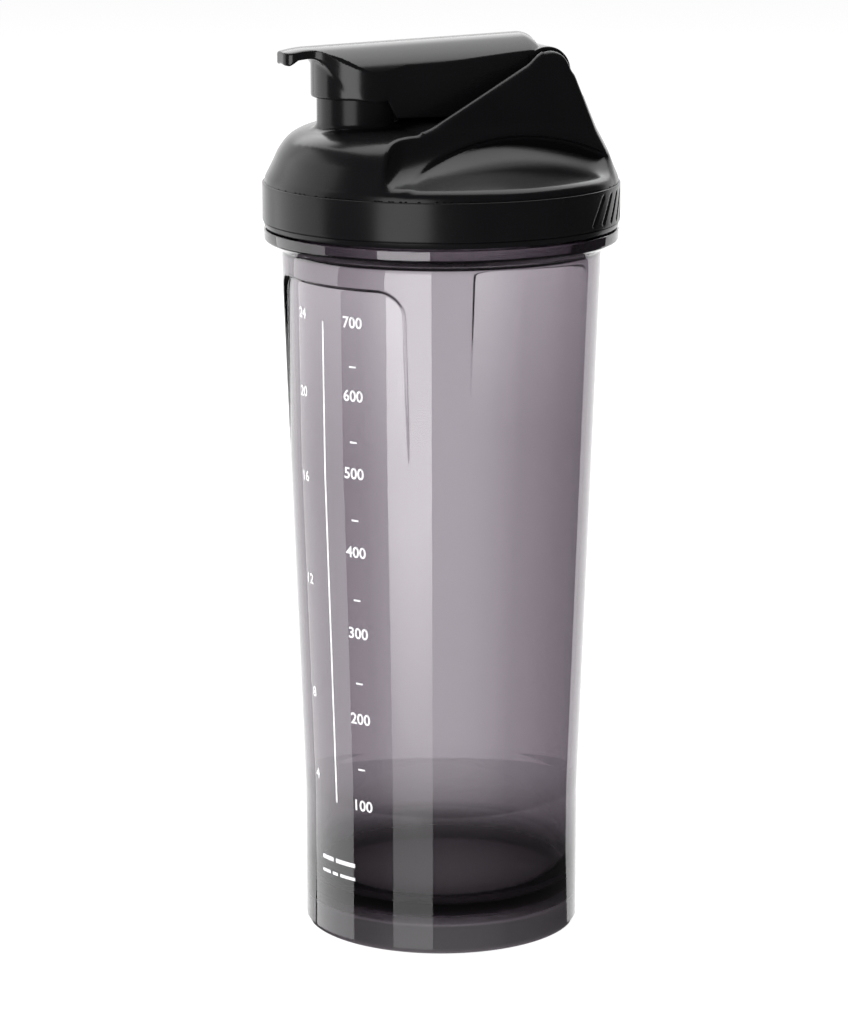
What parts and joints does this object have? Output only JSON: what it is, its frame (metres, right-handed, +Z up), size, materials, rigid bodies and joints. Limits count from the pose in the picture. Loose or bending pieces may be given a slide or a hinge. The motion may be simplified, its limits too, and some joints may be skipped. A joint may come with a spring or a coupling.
{
  "type": "protein shaker bottle",
  "caption": "Tapered translucent shaker bottle with a measuring scale, a screw lid and a flip cap over its drinking spout.",
  "frame": {"origin": "centre of the base, on the surface the bottle stands on", "axes": "+Z up along the bottle's axis; the drinking spout points to -X and the flip cap's hinge is at +X"},
  "size_m": [0.0964, 0.0964, 0.2451],
  "materials": {
    "smoke_cup": "smoke grey translucent, gloss",
    "black_shell": "satin black",
    "black_cap": "satin black",
    "seal_rubber": "soft, matte",
    "grid_plastic": "matte",
    "pin_steel": "brushed",
    "scale_print": "printed ink"
  },
  "bodies": {
    "cup": {"cup": "smoke_cup"},
    "seal": {"lid_gasket": "seal_rubber"},
    "lid": {"lid": "black_shell", "mixing_grid": "grid_plastic", "hinge_pin": "pin_steel"},
    "flip": {"flip_cap": "black_cap", "spout_plug": "seal_rubber"}
  },
  "joints": [
    {"name": "lid_lift", "type": "slide", "parent": "cup", "child": "seal", "axis": [0, 0, 1], "range_m": [0, 0.0106]},
    {"name": "lid_turn", "type": "hinge", "parent": "seal", "child": "lid", "pos_m": [0, 0, 0.2], "axis": [0, 0, 1], "range_deg": [0, 540]},
    {"name": "flip_turn", "type": "hinge", "parent": "lid", "child": "flip", "pos_m": [0.026, 0, 0.235], "axis": [0, 1, 0], "range_deg": [0, 135]}
  ],
  "couplings": [
    {"joint": "lid_lift", "follows": "lid_turn", "m_per_rad": 0.0011141}
  ]
}
